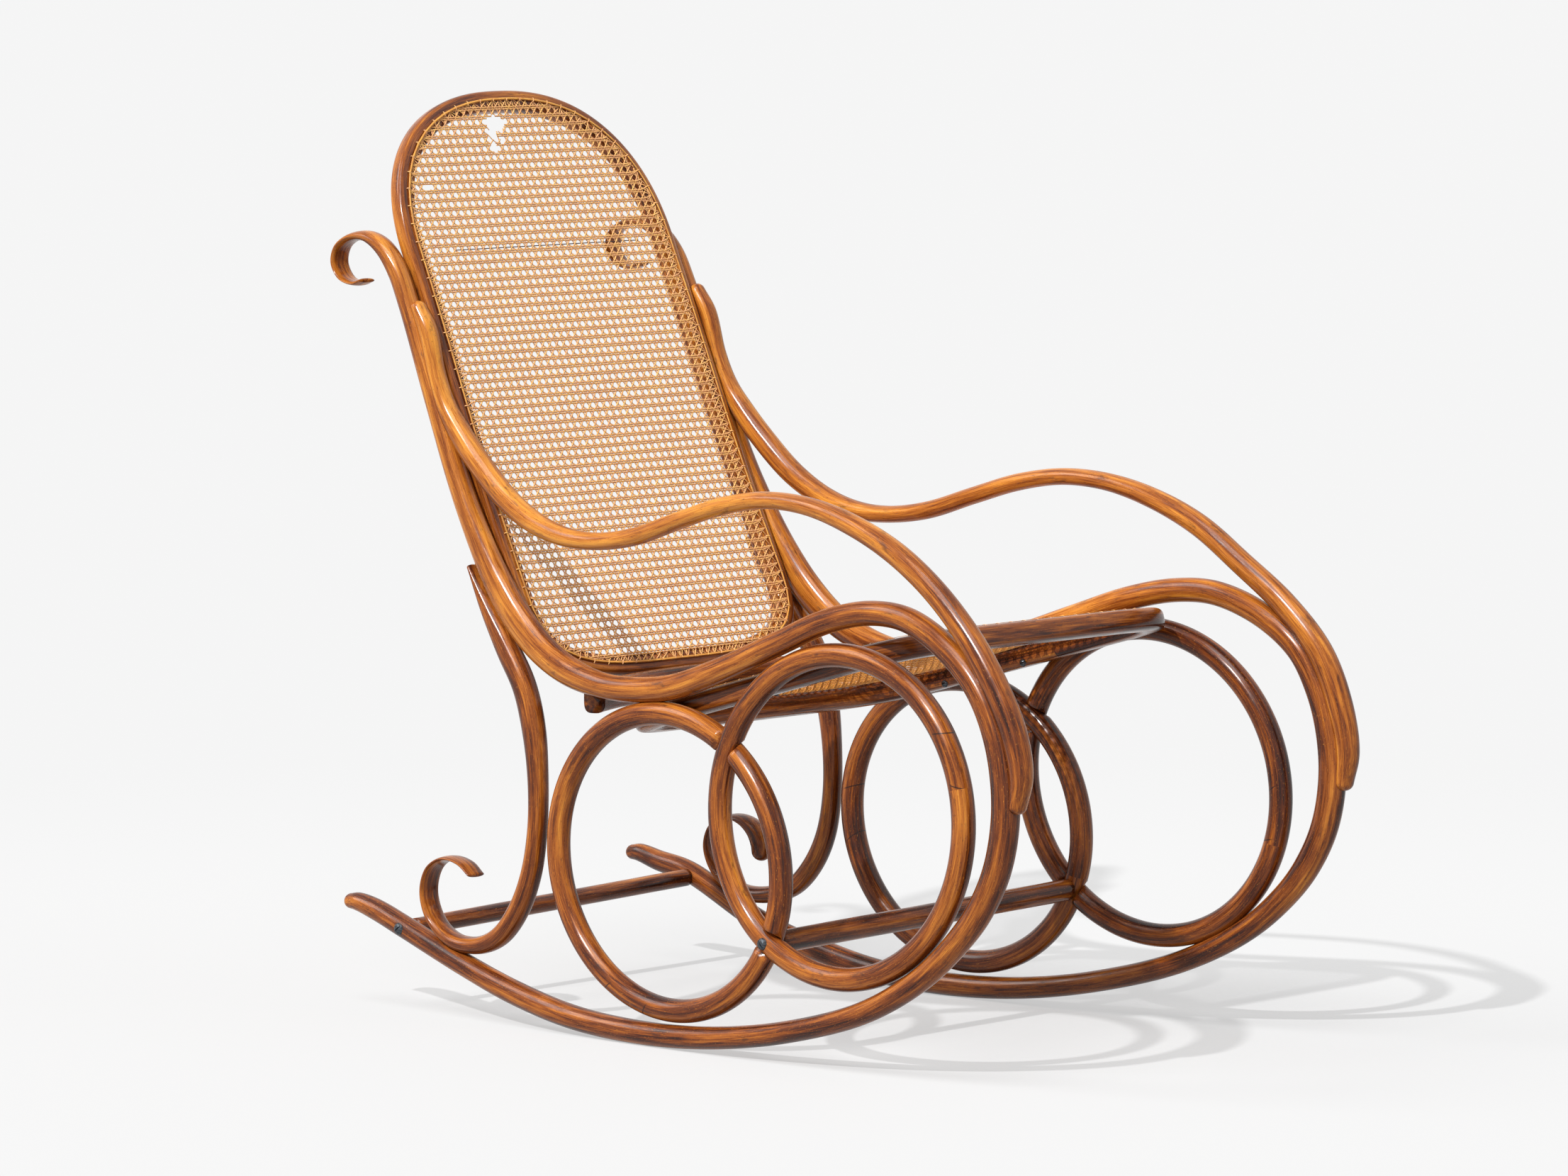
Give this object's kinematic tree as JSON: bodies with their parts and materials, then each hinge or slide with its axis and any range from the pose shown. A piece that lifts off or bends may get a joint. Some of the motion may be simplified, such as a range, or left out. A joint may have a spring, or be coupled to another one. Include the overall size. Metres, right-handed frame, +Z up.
{
  "type": "bentwood rocking chair",
  "caption": "Rocking chair of bent wooden rods: side frames with long runners, rings, scrolls and sweeping armrests, and a woven cane seat and arched back.",
  "frame": {"origin": "on the floor, under the middle of the chair's bounding box", "axes": "+X towards the sitter's left, -Y the way the chair faces, +Z up"},
  "size_m": [0.567, 1.0914, 1.0402],
  "materials": {
    "bent_wood": "glossy brown stain and varnish, worn, with darker streaks",
    "arm_wood": "glossy honey brown stain and varnish, worn lighter on top",
    "rail_wood": "satin dark brown stain, worn at the edges",
    "cane": "dry golden rattan cane",
    "screw_steel": "dull dark steel"
  },
  "bodies": {
    "root": {"side_frame_right": "bent_wood", "armrest_right": "arm_wood", "front_ring_right": "bent_wood", "rear_ring_right": "bent_wood", "rear_support_right": "bent_wood", "crossing_screw_right": "screw_steel", "tail_screw_right": "screw_steel", "seat_screw_rear_right": "screw_steel", "seat_screw_front_right": "screw_steel", "side_frame_left": "bent_wood", "armrest_left": "arm_wood", "front_ring_left": "bent_wood", "rear_ring_left": "bent_wood", "rear_support_left": "bent_wood", "crossing_screw_left": "screw_steel", "tail_screw_left": "screw_steel", "seat_screw_rear_left": "screw_steel", "seat_screw_front_left": "screw_steel", "front_stretcher": "bent_wood", "rear_stretcher": "bent_wood", "seat_frame": "rail_wood", "seat_cane": "cane", "back_frame": "rail_wood", "back_cane": "cane", "back_cross_rail": "rail_wood"}
  },
  "joints": []
}
